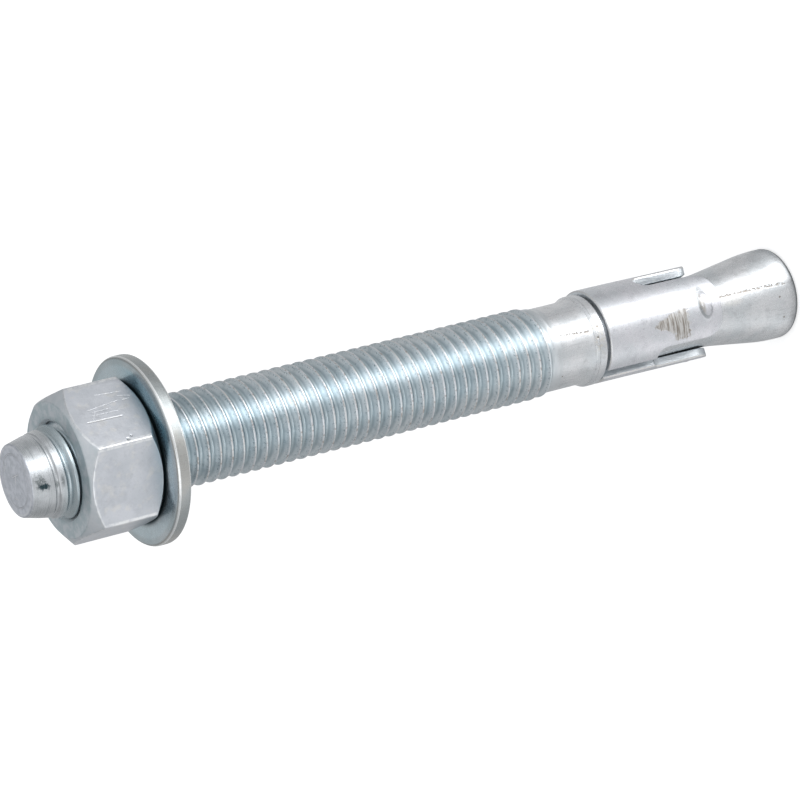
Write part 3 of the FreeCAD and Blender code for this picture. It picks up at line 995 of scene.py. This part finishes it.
# Brightness of the studio as the metal mirrors it, as (angle, level). The angle is the way a
# surface faces, in degrees from -Y towards +X. Upright surfaces mirror the floor, tilted ones
# the sky.
FLOOR_LEVELS = (
    (-90, 0.72), (-60, 0.72), (-44, 0.80), (-31, 1.22), (-18, 0.95), (-8, 0.93), (0, 1.05),
    (5, 1.35), (10, 3.6), (19.5, 3.6), (26, 1.6), (33, 1.02), (44, 0.72), (59, 0.86), (90, 0.90))
SKY_LEVELS = (
    (-90, 0.48), (-62, 0.50), (-42, 0.58), (-28, 0.60), (-18, 0.56), (-9, 0.56), (0, 0.64),
    (6, 0.9), (11, 1.2), (20, 1.2), (25, 1.0), (31, 0.78), (41, 0.66), (56, 0.54), (90, 0.50))
# What the floor shows in a mirror by the light that falls on it, before the bands are added
FLOOR_ALONE = 0.64
FLOOR_TONE = (0.62, 0.62, 0.62, 1)
# Added where the camera sees the floor, to make it white
FLOOR_TO_WHITE = 0.62
# Level that surfaces facing straight up mirror
SKY_OVERHEAD = 0.74
SKY_TONE = (0.97, 0.985, 1.0, 1)
FLOOR_HALF = 4.0
LAMP_PLACE = Vector((-0.5, -0.5, 0.7))
LAMP_AIM = Vector((0, 0, 0.09))
LAMP_SIZE = 0.6
LAMP_POWER = 1.2


def floor_material():
    """Pale floor, white to the camera with the shadow kept, that the metal mirrors in bands."""
    n = Surface("floor_white")
    n.shader.inputs["Base Color"].default_value = FLOOR_TONE
    n.shader.inputs["Roughness"].default_value = 0.9
    n.shader.inputs["Specular IOR Level"].default_value = 0.0
    path = n.tree.nodes.new("ShaderNodeLightPath")
    mirrored = n.most(path.outputs["Is Glossy Ray"], path.outputs["Is Transmission Ray"])
    facing = n.times(n.math("ARCTAN2", n.x, n.times(n.y, -1.0)), 90 / math.pi)
    bands = n.math("SUBTRACT", n.curve(facing, FLOOR_LEVELS), FLOOR_ALONE)
    bands = n.times(bands, n.span(n.radius, 9.8, 14.0), mirrored)
    level = n.math("ADD", n.times(path.outputs["Is Camera Ray"], FLOOR_TO_WHITE), bands)
    glow = n.make("ShaderNodeEmission", {"Color": (1, 1, 1, 1), "Strength": level}).outputs[0]
    both = n.make("ShaderNodeAddShader", {0: n.shader.outputs[0], 1: glow}).outputs[0]
    n.tree.links.new(both, n.tree.nodes["Material Output"].inputs["Surface"])
    return n.material


def make_floor():
    mesh = bpy.data.meshes.new("floor")
    corners = [(x * FLOOR_HALF, y * FLOOR_HALF, 0) for x, y in ((-1, -1), (1, -1), (1, 1), (-1, 1))]
    mesh.from_pydata(corners, [], [(0, 1, 2, 3)])
    mesh.materials.append(floor_material())
    piece = bpy.data.objects.new("floor", mesh)
    bpy.context.scene.collection.objects.link(piece)


def make_sky():
    """Soft white studio, brighter along one strip that upright metal mirrors beside its front."""
    world = bpy.data.worlds.new("studio")
    bpy.context.scene.world = world
    world.use_nodes = True
    n = Nodes(world.node_tree)
    shade = n.tree.nodes["Background"]
    way = n.tree.nodes.new("ShaderNodeTexCoord").outputs["Generated"]
    half = n.vector("NORMALIZE", n.vector("ADD", n.vector("NORMALIZE", way), FRONT))
    x, y, z = n.split(half)
    facing = n.times(n.math("ARCTAN2", x, n.times(y, -1.0)), 180 / math.pi)
    horizon = n.times(n.curve(facing, FLOOR_LEVELS), n.span(z, 0.56, 0.3))
    middle = n.times(n.curve(facing, SKY_LEVELS), n.span(z, 0.3, 0.56), n.span(z, 0.985, 0.93))
    overhead = n.span(z, 0.93, 0.985, 0.0, SKY_OVERHEAD)
    level = n.math("ADD", n.math("ADD", horizon, middle), overhead)
    shade.inputs["Color"].default_value = SKY_TONE
    n.tree.links.new(level, shade.inputs["Strength"])


def add_camera():
    right = Vector(CAMERA_RIGHT).normalized()
    back = Vector(FRONT).normalized()
    up = back.cross(right).normalized()
    right = up.cross(back)
    data = bpy.data.cameras.new("camera")
    data.lens = CAMERA_LENS
    data.clip_start = 0.01
    camera = bpy.data.objects.new("camera", data)
    turn = Matrix((right, up, back)).transposed().to_4x4()
    camera.matrix_world = Matrix.Translation(Vector(CAMERA_PLACE) * MM) @ turn
    bpy.context.scene.collection.objects.link(camera)
    bpy.context.scene.camera = camera


def add_lamp():
    data = bpy.data.lights.new("soft_lamp", "AREA")
    data.size = LAMP_SIZE
    data.energy = LAMP_POWER
    lamp = bpy.data.objects.new("soft_lamp", data)
    lamp.location = LAMP_PLACE
    lamp.rotation_euler = (LAMP_AIM - LAMP_PLACE).to_track_quat("-Z", "Y").to_euler()
    lamp.visible_camera = False
    bpy.context.scene.collection.objects.link(lamp)


bpy.context.scene.view_settings.view_transform = "Standard"
add_camera()
make_floor()
make_sky()
add_lamp()

stud = make_stud([thread_material(), tip_material(), smooth_material()])
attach(stud, "stud")
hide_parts("anchor_stud")

nut = make_nut([nut_material()])
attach(nut, "nut")
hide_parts("hex_nut")

washer = make_washer([washer_material()])
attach(washer, "washer")
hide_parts("flat_washer")

clip = make_clip([clip_material()])
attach(clip, "clip")
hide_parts("expansion_clip")
